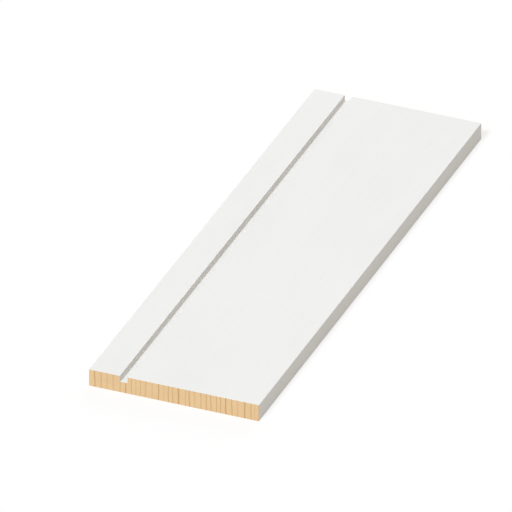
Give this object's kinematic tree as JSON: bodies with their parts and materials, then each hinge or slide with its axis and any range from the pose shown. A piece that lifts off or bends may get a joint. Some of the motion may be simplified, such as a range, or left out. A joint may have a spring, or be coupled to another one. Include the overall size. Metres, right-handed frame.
{
  "type": "baseboard",
  "caption": "Flat baseboard moulding with a square reveal groove along its face near the top edge, primed white with raw pine ends; trims the foot of a wall.",
  "frame": {"origin": "middle of the back face, which goes against the wall and on which the board lies", "axes": "+X along the board's length, +Y towards its top edge, +Z out of its face"},
  "size_m": [0.4572, 0.1396, 0.0143],
  "materials": {
    "primed_pine": "matt white primer on the face, long edges and groove; raw pine on both crosscut ends and the back"
  },
  "bodies": {
    "root": {"baseboard": "primed_pine"}
  },
  "joints": []
}
